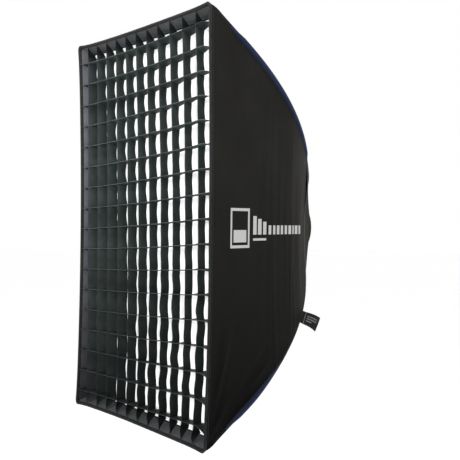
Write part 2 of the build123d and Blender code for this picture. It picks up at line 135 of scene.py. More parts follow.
# small parts
HEM_HALF = (0.0021, 0.0043)  # half sizes of the rolled hem's section, out and along the depth
PIPING_R = 0.0072
PIPING_OUT = 0.0017  # how far the sleeves stand out beyond the corner seams
POCKET_R = 0.0052
STRAP_END = 0.338  # radius at which a baffle strap reaches its clip
CLIP_HALF = (0.0062, 0.0058)  # half sizes of a clip, along its strap and across it
PRINT_T = 0.00025
STITCH_PITCH = 0.0052
STITCH_W = 0.0009
TAG_DEPTH = 0.3875  # where the tag's rear corner meets the seam
TAG_SIZE = (0.036, 0.0445)  # along the seam, and out from it
TAG_FACING = np.array((1.0, -0.4, 0.0))

# painted light and shade, and worn edges
EDGE_WEAR_AND_HIGHLIGHT = 0.0014  # width of a strip's paler edge: real wear and a painted highlight
FRONT_TO_BACK_SHADE = (1.22, 0.74)  # painted shade: how bright a strip is painted behind that edge, and at its back, darker deeper in the grid
LIP_SHADOW_HEIGHTS = (0.405, 0.420)  # heights over which a painted shadow of the lip darkens the uprights' upper ends
LIP_SHADOW_LEVEL = 0.2  # how bright that painted shadow leaves those ends, against the rest
HEIGHT_SHADE_TOP = 0.15  # painted shade: below this height cloth is painted darker towards the bottom, above it evenly
REAR_HIGHLIGHT = (0.30, 0.41)  # painted highlight: depths over which a wall is painted paler where it bends over the rear and its folds catch the light


def ramp(value, start, end):
    """Goes from 0 to 1 as the value goes from start to end."""
    return np.clip((value - start) / (end - start), 0, 1)


def size_factor(depth):
    return (1 - np.asarray(depth) / BOWL_DEPTH) ** (1 / BOWL_POWER)


def half_at(key, depth):
    return HALF[key] * size_factor(depth)


def shrink_rate(half, depth):
    return half * size_factor(depth) ** (1 - BOWL_POWER) / (BOWL_DEPTH * BOWL_POWER)


def inner_half(key, depth, inset):
    """Half-size at a depth of a surface inset square to the wall."""
    return half_at(key, depth) - inset * np.hypot(1, shrink_rate(HALF[key], depth))


def front_bow(tx, tz, depth=0.0):
    """Setback of the front cloth at a place given as shares of the half sizes."""
    fade = np.clip(1 - np.asarray(depth) / BACK_FADE, 0, 1) ** 2
    return fade * sum(HEM_BACK[key] * (1 - np.clip(t, -1, 1) ** 2) for key, t in (("z", tz), ("x", tx)))


# ---------------------------------------------------------------- mesh helpers
def new_object(name, verts, faces, finish, uv=None):
    mesh = bpy.data.meshes.new(name)
    mesh.from_pydata([tuple(map(float, v)) for v in verts], [], [tuple(f) for f in faces])
    mesh.validate()
    if uv is not None:
        layer = mesh.uv_layers.new(name="cloth")
        loops = np.zeros(len(mesh.loops), dtype=np.int32)
        mesh.loops.foreach_get("vertex_index", loops)
        layer.data.foreach_set("uv", np.asarray(uv, dtype=np.float32)[loops].ravel())
    mesh.shade_smooth()
    mesh.set_sharp_from_angle(angle=math.radians(50))
    obj = bpy.data.objects.new(name, mesh)
    bpy.context.scene.collection.objects.link(obj)
    mesh.materials.append(finish)
    return obj


def places(obj):
    """The object's vertices, a row for each."""
    co = np.zeros(len(obj.data.vertices) * 3)
    obj.data.vertices.foreach_get("co", co)
    return co.reshape(-1, 3)


def lattice(rows, columns):
    """Two arrays of the same shape: a value for each row, and one for each column."""
    return np.meshgrid(rows, columns, indexing="ij")


def unit(vectors):
    return vectors / np.linalg.norm(vectors, axis=-1, keepdims=True)


def path_lengths(path):
    return np.concatenate([[0], np.cumsum(np.linalg.norm(np.diff(path, axis=0), axis=1))])


def joined(parts):
    """One list of vertices and one of faces from several."""
    verts, faces = [], []
    for part_verts, part_faces in parts:
        faces += [tuple(i + len(verts) for i in face) for face in part_faces]
        verts += list(part_verts)
    return verts, faces


def ring_faces(count, sides, closed=False):
    """Faces between rings of vertices in a row, with flat ends unless the row closes on itself."""
    faces = []
    for i in range(count if closed else count - 1):
        j = (i + 1) % count
        for k in range(sides):
            k2 = (k + 1) % sides
            faces.append((i * sides + k, i * sides + k2, j * sides + k2, j * sides + k))
    if not closed:
        faces.append(tuple(range(sides))[::-1])
        faces.append(tuple((count - 1) * sides + k for k in range(sides)))
    return faces


def grid_normals(points):
    n = np.cross(np.gradient(points, axis=0), np.gradient(points, axis=1))
    return n / np.maximum(np.linalg.norm(n, axis=2, keepdims=True), 1e-12)


def sheet_solid(points, normals, thickness):
    """Vertices and faces of a closed sheet: points are its outer side, normals point out of it."""
    rows, columns = points.shape[:2]
    inner = points - normals * thickness
    verts = np.concatenate([points.reshape(-1, 3), inner.reshape(-1, 3)])
    offset = rows * columns
    index = np.arange(offset).reshape(rows, columns)
    a, b, c, d = index[:-1, :-1], index[1:, :-1], index[1:, 1:], index[:-1, 1:]
    outer = np.stack([a, b, c, d], -1).reshape(-1, 4)
    faces = [tuple(f) for f in outer]
    faces += [tuple(f[::-1] + offset) for f in outer]
    rim = list(index[0, :]) + list(index[1:, -1]) + list(index[-1, -2::-1]) + list(index[-2:0:-1, 0])
    for p, q in zip(rim, rim[1:] + rim[:1]):
        faces.append((p, q, q + offset, p + offset))
    return verts, faces


def metric_uv(points):
    """Lengths along the sheet in both directions, in metres, so that a weave has one scale."""
    u = np.zeros(points.shape[:2])
    v = np.zeros(points.shape[:2])
    u[1:] = np.cumsum(np.linalg.norm(np.diff(points, axis=0), axis=2), axis=0)
    v[:, 1:] = np.cumsum(np.linalg.norm(np.diff(points, axis=1), axis=2), axis=1)
    u = np.broadcast_to(u.mean(1, keepdims=True), u.shape)
    return np.stack([u, v], -1).reshape(-1, 2)


def sheet_object(name, points, thickness, finish, outward):
    """A closed sheet whose outer side faces the outward vector's side."""
    normals = grid_normals(points)
    if (normals * np.asarray(outward)).sum() < 0:
        points = points[:, ::-1]
        normals = grid_normals(points)
    verts, faces = sheet_solid(points, normals, thickness)
    uv = metric_uv(points)
    return new_object(name, verts, faces, finish, np.concatenate([uv, uv]))


def tube(name, path, radius, finish, sides=16):
    """A closed round tube along a path, with flat ends. The radius may change along it."""
    path = np.asarray(path, float)
    radii = np.broadcast_to(radius, len(path))
    tangents = unit(np.gradient(path, axis=0))
    normal = np.cross(tangents[0], (0.3, 0.2, 1.0))
    verts, uv = [], []
    for p, t, r, length in zip(path, tangents, radii, path_lengths(path)):
        normal = unit(normal - t * (normal @ t))
        side = np.cross(t, normal)
        for k in range(sides):
            a = 2 * math.pi * k / sides
            verts.append(p + r * (math.cos(a) * normal + math.sin(a) * side))
            uv.append((length, r * a))
    return new_object(name, verts, ring_faces(len(path), sides), finish, uv)


# ---------------------------------------------------------------- fold: each point's share of its rib's turn
def eased(share):
    """The share of a rib's turn for a share of the way to it, evened out where cloth would overlap itself."""
    share = np.clip(share / RIGID_SHARE, 0, 1)
    return share * (1 + FOLD_EASE * (1 - share))


def wall_shares(co):
    """How far a point is from the two midlines, as shares of the bowl's half sizes at its depth."""
    depth = np.clip(co[:, 1] + SEAT_DEPTH, 0, PANEL_END)
    return np.abs(co[:, 0]) / half_at("x", depth), np.abs(co[:, 2]) / half_at("z", depth)


def rib_share(co):
    """How much of its rib's turn a point takes, from 0 on the midlines to 1 at the rib."""
    return eased(np.minimum(*wall_shares(co)))


def collar_share(co):
    """The same on the collar, which follows the panels at its outer edge and stays still at its inner one."""
    tx, tz = wall_shares(co)
    rho, outermost = np.hypot(co[:, 0], co[:, 2]), np.maximum(tx, tz)
    fade = np.clip((rho - COLLAR_STILL) / (rho / outermost - COLLAR_STILL), 0, 1)
    return eased(np.minimum(tx, tz) / outermost) * fade


def fold_with(piece, share=rib_share):
    """Bakes the piece's transform and works out each vertex's share of its rib's turn; nothing uses those
    shares.
    """
    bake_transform(piece)
    weights = share(places(piece)).astype(np.float32)
    return piece


def corner_of(sx, sz):
    return next(name for name, signs in CORNERS.items() if signs == (sx, sz))


def halves(side):
    """The two corners that a side's wall reaches, each with the sign of its half along the wall."""
    key, sign = SIDES[side]
    return [(corner_of(sign, s) if key == "x" else corner_of(s, sign), s) for s in (1, -1)]


# ---------------------------------------------------------------- materials
class Finish:
    """A material, with short ways to add nodes to it and to join them."""

    def __init__(self, name, base, rough, metallic=0.0, sheen=0.0, specular=0.5):
        self.material = bpy.data.materials.new(name)
        self.material.use_nodes = True
        self.nodes, self.links = self.material.node_tree.nodes, self.material.node_tree.links
        self.shader = self.nodes["Principled BSDF"]
        values = {"Base Color": (*base, 1), "Roughness": rough, "Metallic": metallic}
        values.update({"Sheen Weight": sheen, "Sheen Roughness": 0.4, "Specular IOR Level": specular})
        for key, value in values.items():
            self.shader.inputs[key].default_value = value

    def put(self, value, socket):
        """Sets an input to a value, or links another node's output to it."""
        if isinstance(value, bpy.types.NodeSocket):
            self.links.new(value, socket)
        else:
            socket.default_value = value

    def add(self, kind, **settings):
        """A new node. Each setting is one of its inputs, or else another property of it."""
        node = self.nodes.new("ShaderNode" + kind)
        for key, value in settings.items():
            if key in node.inputs.keys():
                self.put(value, node.inputs[key])
            else:
                setattr(node, key, value)
        return node

    def math(self, operation, *values):
        node = self.add("Math", operation=operation)
        for value, socket in zip(values, node.inputs):
            self.put(value, socket)
        return node.outputs[0]

    def noise(self, place, scale, detail):
        return self.add("TexNoise", Vector=place, Scale=scale, Detail=detail).outputs[0]

    def parts(self, vector):
        """The X, Y and Z of a vector."""
        return self.add("SeparateXYZ", Vector=vector).outputs

    def graded(self, source, span, values):
        """A value that runs from values[0] to values[1] over a span of the source."""
        limits = {"From Min": span[0], "From Max": span[1], "To Min": values[0], "To Max": values[1]}
        return self.add("MapRange", Value=source, **limits).outputs[0]

    def colours(self, source, *stops):
        """A colour that goes from one stop to the next, each given as a position and a colour."""
        ramp = self.add("ValToRGB")
        for element, (position, colour) in zip(ramp.color_ramp.elements, stops):
            element.position = position
            element.color = (*colour, 1)
        self.put(source, ramp.inputs[0])
        return ramp.outputs[0]

    def weave(self, uv, pitch, ribbed):
        """Height of a plain weave from two crossing waves, on lengths in metres."""
        lengths = self.parts(uv)
        waves = []
        for output, scale in (("X", pitch), ("Y", pitch * (1 + ribbed))):
            waves.append(self.math("SINE", self.math("MULTIPLY", lengths[output], 2 * math.pi / scale)))
        return self.math("MULTIPLY", *waves)

    def finished(self, colour, rough, height, strength, distance):
        """Joins the shader to what was made for it, and gives the material."""
        bump = self.add("Bump", Strength=strength, Distance=distance, Height=height)
        for key, value in (("Base Color", colour), ("Roughness", rough), ("Normal", bump.outputs[0])):
            self.put(value, self.shader.inputs[key])
        return self.material


def cloth_material(
    name, base, light, rough=0.75, pitch=0.0012, depth=0.25, sheen=0.04, mottle=9.0, ribbed=0.0,
    specular=0.16, shade_by_height=(1.0, 1.0), rear=1.0, edge=1.0,
):
    """Woven cloth: a weave in the bump, slow changes of colour and gloss, and painted light and shade: painted
    shade that makes it paler from bottom to top, a painted highlight towards the rear, and, along the edge
    where the cloth's second coordinate starts, a worn edge with a painted highlight, with painted shade behind
    it and a painted shadow on the uprights' upper ends."""
    finish = Finish(name, base, rough, sheen=sheen, specular=specular)
    uv = finish.add("UVMap", uv_map="cloth").outputs[0]
    slow, fine = finish.noise(uv, mottle, 4.0), finish.noise(uv, mottle * 40, 3.0)
    colour = finish.colours(finish.math("MULTIPLY", slow, fine), (0.12, base), (0.42, light))
    place = finish.parts(finish.add("TexCoord").outputs["Object"])
    # painted shade: cloth darker towards the bottom, as if lit from above
    amount = finish.graded(place["Z"], (-HALF["z"], HEIGHT_SHADE_TOP), shade_by_height)
    shades = []
    # painted highlight: a wall painted paler towards the rear, where its folds catch the light
    if rear != 1.0:
        shades.append((place["Y"], [d - SEAT_DEPTH for d in REAR_HIGHLIGHT], (1.0, rear)))
    if edge != 1.0:
        across = finish.parts(uv)["Y"]
        # a worn edge that is also a painted highlight
        shades.append((across, (0.0, EDGE_WEAR_AND_HIGHLIGHT), (edge, 1.0)))
        # painted shade: a strip painted darker towards its back, deeper in the grid
        shades.append((across, (EDGE_WEAR_AND_HIGHLIGHT, GRID_T), FRONT_TO_BACK_SHADE))
        # painted shadow of the lip on the uprights' upper ends
        shades.append((place["Z"], LIP_SHADOW_HEIGHTS, (1.0, LIP_SHADOW_LEVEL)))
    for shade in shades:
        amount = finish.math("MULTIPLY", amount, finish.graded(*shade))
    shaded = finish.add("VectorMath", operation="SCALE", Vector=colour, Scale=amount).outputs[0]
    gloss = finish.graded(slow, (0.0, 1.0), (rough - 0.08, rough + 0.08))
    return finish.finished(shaded, gloss, finish.weave(uv, pitch, ribbed), depth, 0.0004)


def solid_material(name, base, rough, metallic=0.0, grain=180.0, depth=0.08, stretch=(1, 1, 1)):
    """Moulded, painted or machined surface: fine grain in the bump, slow changes of gloss and colour."""
    finish = Finish(name, base, rough, metallic=metallic)
    place = finish.add("Mapping", Vector=finish.add("TexCoord").outputs["Object"], Scale=stretch).outputs[0]
    fine, slow = finish.noise(place, grain, 3.0), finish.noise(place, grain / 12, 4.0)
    gloss = finish.graded(slow, (0.0, 1.0), (max(rough - 0.12, 0.05), min(rough + 0.12, 1.0)))
    colour = finish.colours(slow, (0.35, base), (0.75, [c * 1.35 + 0.004 for c in base]))
    return finish.finished(colour, gloss, fine, depth, 0.0003)


# Painted highlight: the shell cloth is also painted paler towards the rear.
# Painted shade: a cloth below that is given a grade by height is painted darker towards the bottom, as if lit
# from above.
SHELL = cloth_material(
    "shell_cloth", (0.0054, 0.0053, 0.0048), (0.0108, 0.0104, 0.0094), rough=0.6, sheen=0.0, specular=0.035,
    shade_by_height=(0.06, 1.45), rear=2.9,
)
HEM = cloth_material(
    "hem_binding", (0.0050, 0.0050, 0.0052), (0.012, 0.012, 0.0123), rough=0.5, pitch=0.0016, ribbed=0.6,
    specular=0.08, shade_by_height=(0.8, 2.3),
)
PIPING = cloth_material(
    "blue_piping", (0.0040, 0.0085, 0.027), (0.009, 0.018, 0.050), rough=0.55, pitch=0.0012, sheen=0.08,
    specular=0.10, shade_by_height=(0.7, 1.1),
)
LINING = cloth_material(
    "silver_lining", (0.55, 0.56, 0.57), (0.72, 0.73, 0.74), rough=0.35, pitch=0.004, depth=0.5, sheen=0.0
)
TAPE = cloth_material(
    "loop_tape", (0.085, 0.086, 0.098), (0.15, 0.152, 0.168), rough=0.9, pitch=0.0045, depth=0.9,
    specular=0.1, shade_by_height=(0.12, 1.05),
)
# Painted shade: the same loop tape as above, painted darker for the top and bottom lips.
SHADED_LEVEL_TAPE = cloth_material(
    "loop_tape_level_painted_shade", (0.030, 0.032, 0.034), (0.062, 0.065, 0.068), rough=0.9, pitch=0.0045, depth=0.9,
    specular=0.1, shade_by_height=(0.8, 1.2),
)
DIFFUSER = cloth_material(
    "diffuser_nylon", (0.90, 0.905, 0.905), (0.94, 0.942, 0.94), rough=0.6, pitch=0.001, depth=0.12, sheen=0.0
)
# Painted light on the grid strips: a worn edge that is also a painted highlight, painted shade towards their
# backs and a painted shadow on the uprights' upper ends.
GRID = cloth_material(
    "grid_strip", (0.0072, 0.0097, 0.0094), (0.030, 0.0375, 0.036), rough=0.5, pitch=0.0014, sheen=0.0,
    mottle=22.0, specular=0.05, shade_by_height=(0.30, 1.32), edge=3.4,
)
# Painted light: the collar cloth is painted far paler than the shell's black cloth, standing in for light on
# its shaded side; the corner pockets use it too.
COLLAR = cloth_material(
    "collar_cloth", (0.026, 0.0255, 0.0235), (0.046, 0.0445, 0.041), rough=0.7, pitch=0.0022, specular=0.08
)
ELASTIC = cloth_material(
    "elastic", (0.012, 0.012, 0.013), (0.03, 0.03, 0.032), rough=0.8, pitch=0.003, ribbed=1.5
)
TAG_PRINT = cloth_material("tag_print", (0.10, 0.10, 0.098), (0.17, 0.17, 0.168), rough=0.6, pitch=0.0009)
TAG = cloth_material(
    "tag_cloth", (0.006, 0.006, 0.0065), (0.014, 0.014, 0.015), rough=0.55, pitch=0.0009, specular=0.08
)
PRINT = cloth_material(
    "white_print", (0.40, 0.40, 0.395), (0.46, 0.46, 0.455), rough=0.45, pitch=0.0012, sheen=0.0
)
THREAD = solid_material("thread", (0.02, 0.02, 0.021), 0.6, grain=900.0)
RING_METAL = solid_material("ring_powder_coat", (0.012, 0.012, 0.013), 0.45, grain=700.0, depth=0.25)
INSERT_METAL = solid_material(
    "insert_aluminium", (0.55, 0.56, 0.58), 0.32, metallic=1.0, grain=300.0, stretch=(1, 6, 1)
)
BRACKET_STEEL = solid_material("bracket_steel", (0.02, 0.02, 0.022), 0.4, grain=500.0, depth=0.12)
ROD_STEEL = solid_material("rod_steel", (0.42, 0.43, 0.45), 0.28, metallic=1.0, grain=420.0)
STEEL = solid_material("zinc_steel", (0.5, 0.5, 0.52), 0.3, metallic=1.0, grain=420.0)
NYLON = solid_material("moulded_nylon", (0.014, 0.014, 0.015), 0.5, grain=600.0, depth=0.15)
BUTTON_RED = solid_material("button_nylon", (0.36, 0.02, 0.015), 0.42, grain=500.0, depth=0.1)
KNOB_BLACK = solid_material("knob_nylon", (0.012, 0.012, 0.013), 0.48, grain=600.0, depth=0.2)


def dress_cad_nodes():
    """Materials for the CAD nodes that are shown as they are."""
    table = {
        INSERT_METAL: ("mount_insert",),
        RING_METAL: ("hub_ring", "retaining_ring"),
        STEEL: ("retaining_screws", "bracket_screws", "rib_hinge_pins", "button_spring", "lock_screw"),
        BRACKET_STEEL: ("rib_brackets",),
        NYLON: ("rib_knuckle", "rib_tip"),
        ROD_STEEL: ("rib_rod",),
        BUTTON_RED: ("release_button",),
        KNOB_BLACK: ("lock_knob",),
    }
    for name, obj in NODES.items():
        for finish, starts in table.items():
            if name.startswith(starts):
                obj.data.materials.clear()
                obj.data.materials.append(finish)
                obj.data.shade_smooth()
                obj.data.set_sharp_from_angle(angle=math.radians(35))


def make_springs():
    """Each release button's coil spring, copied onto the hub in place of the CAD one; nothing makes it shorten
    as the button goes in.
    """
    for corner in CORNERS:
        node, joint = "button_spring_" + corner, "button_press_" + corner
        spring = bpy.data.objects.new(node + "_coil", NODES[node].data.copy())
        bpy.context.scene.collection.objects.link(spring)
        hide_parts(node)
        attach(spring, "hub")
        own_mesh(spring)


# ---------------------------------------------------------------- camera, light and floor
AZIMUTH, ELEVATION, ROLL = math.radians(56.05), math.radians(0.67), math.radians(0.75)
CAMERA_DISTANCE = 2.038
CAMERA_SIDE, CAMERA_RISE = 0.2183, -0.0059
LENS = 70.4


def make_camera():
    back = Vector((
        math.sin(AZIMUTH) * math.cos(ELEVATION), -math.cos(AZIMUTH) * math.cos(ELEVATION), math.sin(ELEVATION)
    ))
    right = (-back).cross(Vector((0, 0, 1))).normalized()
    up = back.cross(right)
    right_rolled = right * math.cos(ROLL) + up * math.sin(ROLL)
    up_rolled = up * math.cos(ROLL) - right * math.sin(ROLL)
    data = bpy.data.cameras.new("camera")
    data.lens = LENS
    data.sensor_width = 36.0
    camera = bpy.data.objects.new("camera", data)
    bpy.context.scene.collection.objects.link(camera)
    spin = Matrix((right_rolled, up_rolled, back)).transposed().to_4x4()
    place = Vector((0, -SEAT_DEPTH, 0)) + back * CAMERA_DISTANCE + right * CAMERA_SIDE + up * CAMERA_RISE
    camera.matrix_world = Matrix.Translation(place) @ spin
    bpy.context.scene.camera = camera


def area_light(name, place, target, size, power):
    data = bpy.data.lights.new(name, "AREA")
    data.shape = "RECTANGLE"
    data.size, data.size_y = size
    data.energy = power
    light = bpy.data.objects.new(name, data)
    light.location = place
    light.rotation_euler = (Vector(target) - Vector(place)).to_track_quat("-Z", "Y").to_euler()
    bpy.context.scene.collection.objects.link(light)


def make_stage():
    """A pale floor well below the softbox, which hangs on its light, and a soft white studio."""
    radius, segments, level = 40.0, 96, -1.35
    verts = [(0, 0, level)]
    verts += [
        (radius * math.cos(2 * math.pi * i / segments), radius * math.sin(2 * math.pi * i / segments), level)
        for i in range(segments)
    ]
    faces = [(0, i + 1, (i + 1) % segments + 1) for i in range(segments)]
    finish = Finish("floor_paint", (0.93, 0.93, 0.93), 0.9)
    paint = finish.colours(finish.add("TexNoise", Scale=3.0).outputs[0], (0.0, [0.985] * 3), (1.0, [1.0] * 3))
    finish.put(paint, finish.shader.inputs["Base Color"])
    new_object("floor", verts, faces, finish.material)
    world = bpy.data.worlds.new("studio")
    bpy.context.scene.world = world
    world.use_nodes = True
    world.node_tree.nodes["Background"].inputs[0].default_value = (1, 1, 1, 1)
    world.node_tree.nodes["Background"].inputs[1].default_value = 1.0
    area_light("key", (0.5, -3.6, 0.9), (0, -0.4, 0), (2.2, 2.2), 110)
    area_light("top", (1.35, -0.9, 1.35), (0.1, -0.35, 0.1), (0.9, 0.9), 16)
    bpy.context.scene.view_settings.view_transform = "Standard"


# ---------------------------------------------------------------- cloth shapes
class Folds:
    """Soft ridges in a wall. Each lies at a depth and a height along the wall, at its own angle. Seeded."""

    def __init__(self, seed, key, height):
        rng = random.Random(seed)
        half = HALF[OTHER[key]]
        self.ridges = []
        # long creases, more of them and higher towards the rear
        for _ in range(40):
            depth = 0.16 + 0.25 * rng.random() ** 0.55
            reach = float(half_at(OTHER[key], depth))
            size = height * (0.25 + 0.75 * (depth / PANEL_END) ** 2) * rng.uniform(0.35, 1.0)
            self.ridges.append((
                depth, rng.uniform(-0.55, 0.55) * reach, rng.uniform(-0.07, 0.07),
                rng.uniform(0.35, 0.8) * reach, rng.uniform(0.0035, 0.0075), size * rng.choice((-1, 1)),
            ))
        # short ones that fan out from the front corners, most of them at the lower or left end
        for end in (-1, 1):
            count, strength = (12, 1.7) if end < 0 else (6, 0.9)
            for _ in range(count):
                away, angle = rng.uniform(0.06, 0.22), math.radians(rng.uniform(28, 80))
                depth = away * math.cos(angle)
                place = end * (half - away * math.sin(angle) - 0.01)
                self.ridges.append((
                    depth, place, end * (math.pi / 2 - angle), rng.uniform(0.03, 0.07),
                    rng.uniform(0.005, 0.011),
                    strength * height * rng.uniform(0.3, 0.8) * rng.choice((-1, 1)),
                ))

    def __call__(self, depth, place):
        total = np.zeros(np.broadcast(depth, place).shape)
        for d0, p0, turn, reach, width, height in self.ridges:
            c, s = math.cos(turn), math.sin(turn)
            along = (place - p0) * c - (depth - d0) * s
            across = (depth - d0) * c + (place - p0) * s
            total = total + height * np.exp(-((across / width) ** 2) - (along / reach) ** 2)
        return total


def wall_pull(depth, share):
    """How far a wall is drawn in between the ribs, square to it."""
    ends = np.sin(np.pi * ramp(depth, 0.02, PANEL_END + 0.06)) ** 0.7
    return -WALL_PULL * (1 - share**2) * ends


def wall_reach(key, depth, share, inset):
    """Half-size of the bowl at a depth, at a share of the way along that wall, with its pull."""
    rate = shrink_rate(HALF[key], depth)
    return inner_half(key, depth, inset) + wall_pull(depth, share) / np.hypot(1, rate)


def wall_surface(side, depth, share, inset, folds=None, lift=0.0):
    """Points of a wall at depths and at signed shares of the way from its midline to its seams."""
    key, sign = SIDES[side]
    other = OTHER[key]
    t = np.abs(share)
    wide = inner_half(other, depth, inset)
    rate = shrink_rate(HALF[key], depth)
    length = np.hypot(1, rate)
    move = wall_pull(depth, t) + lift
    if folds is not None:
        calm = ramp(1 - t, 0, 0.10) * ramp(depth - HEM_DEPTH, 0, 0.03) * ramp(PANEL_END - depth, 0, 0.01)
        move = move + folds(depth, share * half_at(other, depth)) * calm
        from_seam = (1 - t) * wide
        seam = np.exp(-((from_seam / 0.020) ** 2)) * ramp(from_seam, 0, 0.004)
        wave = np.sin(2 * np.pi * depth / PUCKER_PITCH + 2.1 * np.sin(depth * 40))
        move = move + PUCKER * seam * wave
    out = inner_half(key, depth, inset) + move / length
    tx, tz = (np.ones_like(t), t) if key == "x" else (t, np.ones_like(t))
    y = depth - SEAT_DEPTH + move * rate / length + front_bow(tx, tz, depth)
    xyz = {key: sign * out, other: share * wide}
    return np.stack([xyz["x"], y, xyz["z"]], -1)


def wall_points(side, half_sign, depths, inset, rows, folds=None):
    """Points of half a wall, from its midline to the seam."""
    share = np.linspace(0, 1, rows) ** 0.9
    d, t = lattice(depths, share * half_sign)
    return wall_surface(side, d, t, inset, folds)


def wall_depths(start, end, steps):
    """Stations along the depth, closer together where the wall turns in."""
    f = np.linspace(size_factor(start), size_factor(end), steps)
    even = np.linspace(start, end, steps)
    return 0.5 * (BOWL_DEPTH * (1 - f**BOWL_POWER)) + 0.5 * even


def make_walls(prefix, depths, inset, thickness, finish, rows):
    """The four walls of the shell or its lining, each as two halves that meet at the wall's midline."""
    for side in SIDES:
        key, sign = SIDES[side]
        for corner, half_sign in halves(side):
            points = wall_points(side, half_sign, depths, inset, rows, FOLDS[side])
            outward = (sign, 0.3, 0) if key == "x" else (0, 0.3, sign)
            name = f"{prefix}_{side}_{corner}"
            piece = sheet_object(name, points, thickness, finish, outward)
            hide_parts(f"{prefix}_{side}")
            fold_with(piece)


def quarter_ring(half_x, half_z, radius, steps, turns):
    """A quarter of a rounded rectangle, from the X midline to the Z midline, as rows of (x, z)."""
    points = [(half_x, z) for z in np.linspace(0, half_z - radius, steps)[:-1]]
    for a in np.linspace(0, math.pi / 2, turns):
        points.append((half_x - radius + radius * math.cos(a), half_z - radius + radius * math.sin(a)))
    points += [(x, half_z) for x in np.linspace(half_x - radius, 0, steps)[1:]]
    return np.array(points)


def hem_path(corner, inset, depth, radius):
    """Along the front edge from one midline round the corner to the other midline."""
    sx, sz = CORNERS[corner]
    width, height = inner_half("x", depth, inset), inner_half("z", depth, inset)
    p = quarter_ring(width, height, radius, 70, 9)[::-1]
    y = depth - SEAT_DEPTH + front_bow(p[:, 0] / width, p[:, 1] / height, depth)
    return np.stack([p[:, 0] * sx, y, p[:, 1] * sz], 1)


def powered(value, power):
    return math.copysign(abs(value) ** power, value)


def make_hem(sides=16):
    """The folded binding: a flattened roll round the front edge, quarter by quarter."""
    section = []
    for k in range(sides):
        a = 2 * math.pi * k / sides
        section.append((HEM_HALF[0] * powered(math.cos(a), 0.8), HEM_HALF[1] * powered(math.sin(a), 0.55)))
    for corner, (sx, sz) in CORNERS.items():
        path = hem_path(corner, 0.0018, 0.0042, 0.011)
        outward = unit(np.cross(unit(np.gradient(path, axis=0)), (0, 1, 0)))
        if outward[len(path) // 2] @ np.array((sx, 0, sz), float) < 0:
            outward = -outward
        verts, uv = [], []
        for p, out, length in zip(path, outward, path_lengths(path)):
            wave = 1 + 0.07 * math.sin(length * 330) + 0.05 * math.sin(length * 97 + 1.3)
            for k, (u, v) in enumerate(section):
                lean = 0.30 * v
                verts.append(p + out * (u * wave - lean) + np.array((0, 1, 0)) * v)
                uv.append((length, 0.014 * k / sides))
        faces = ring_faces(len(path), sides)
        if sx * sz > 0:
            faces = [f[::-1] for f in faces]
        hem = new_object("front_hem_" + corner, verts, faces, HEM, uv)
        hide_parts("front_hem")
        fold_with(hem)


def quarter_sheet(node, corner, depth, half_x, half_z, bow, ripple):
    """A quarter of a flat sheet across the bowl, from the midlines to its corner."""
    sx, sz = CORNERS[corner]
    tx, tz = lattice(np.linspace(0, 1, 34), np.linspace(0, 1, 46))
    x, z = tx * half_x(tz) * sx, tz * half_z(tx) * sz
    y = depth - SEAT_DEPTH + bow * front_bow(x / HALF["x"], z / HALF["z"]) + ripple(x, z, tx, tz)
    points = np.stack([x, y, z], -1)
    piece = sheet_object(f"{node}_{corner}", points, NYLON_T, DIFFUSER, (0, -1, 0))
    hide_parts(node)
    fold_with(piece)


def front_ripple(x, z, tx, tz):
    edge = np.maximum(tx, tz) ** 6
    slack = 0.0012 * np.sin(x * 42 + 1.7 * np.sin(z * 9)) * np.sin(z * 31)
    return slack * (1 - edge) + 0.0006 * edge * np.sin(z * 180)


def baffle_ripple(x, z, tx, tz):
    return 0.004 * np.sin(x * 24) * np.sin(z * 17 + 0.6) * (1 - tx * tz)


def make_diffusers():
    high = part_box("inner_baffle")[1]
    for corner in CORNERS:
        quarter_sheet(
            "front_diffuser", corner, DIFFUSER_DEPTH,
            lambda share: wall_reach("x", DIFFUSER_DEPTH, share, DIFFUSER_INSET),
            lambda share: wall_reach("z", DIFFUSER_DEPTH, share, DIFFUSER_INSET),
            0.7, front_ripple,
        )
        quarter_sheet(
            "inner_baffle", corner, BAFFLE_DEPTH,
            lambda share: high.x - 0.006 * (1 - share**2), lambda share: high.z - 0.009 * (1 - share**2),
            0.0, baffle_ripple,
        )


# ---------------------------------------------------------------- grid
# how the slack grid's edges hang: lean moves an edge to the right, and rise moves it up (see hang)
FRONT_LEAN = {
    "middle": -0.005, "ends": 0.005,
    "up": -0.015, "up_at_sides": 0.0, "across": 0.009, "across_at_ends": -0.3,
}
BACK_LEAN = {
    "sides": 0.010, "ends": -0.003, "twist": 0.005, "up": -0.015, "up_at_sides": 0.4, "across": -0.010,
}
FRONT_RISE = {
    "middle": 0.003, "sides": 0.003, "ends": -0.005, "up": 0.010, "across": 0.016, "across_at_ends": 0.3,
}
BACK_RISE = {
    "sides": 0.005, "ends": -0.007, "up": 0.011, "up_at_ends": 0.2, "across": 0.020, "across_at_ends": 0.1,
}


def hang(
    x, z, middle=0.0, sides=0.0, ends=0.0, twist=0.0, up=0.0, across=0.0, up_at_sides=1.0, up_at_ends=1.0,
    across_at_ends=1.0,
):
    """How far an edge of the slack grid hangs from its even place, in metres. Sides and ends add the same at
    both, and up, across and twist change sign at the bottom, at the left and from corner to corner. Shares such
    as up_at_sides say how much of an amount is left there."""
    tx, tz = x / HALF["x"], z / HALF["z"]
    up = up * tz * (1 - (1 - up_at_sides) * tx**2 - (1 - up_at_ends) * tz**2)
    across = across * tx * (1 - (1 - across_at_ends) * tz**2)
    return middle + sides * tx**2 + ends * tz**2 + twist * tx * tz + up + across


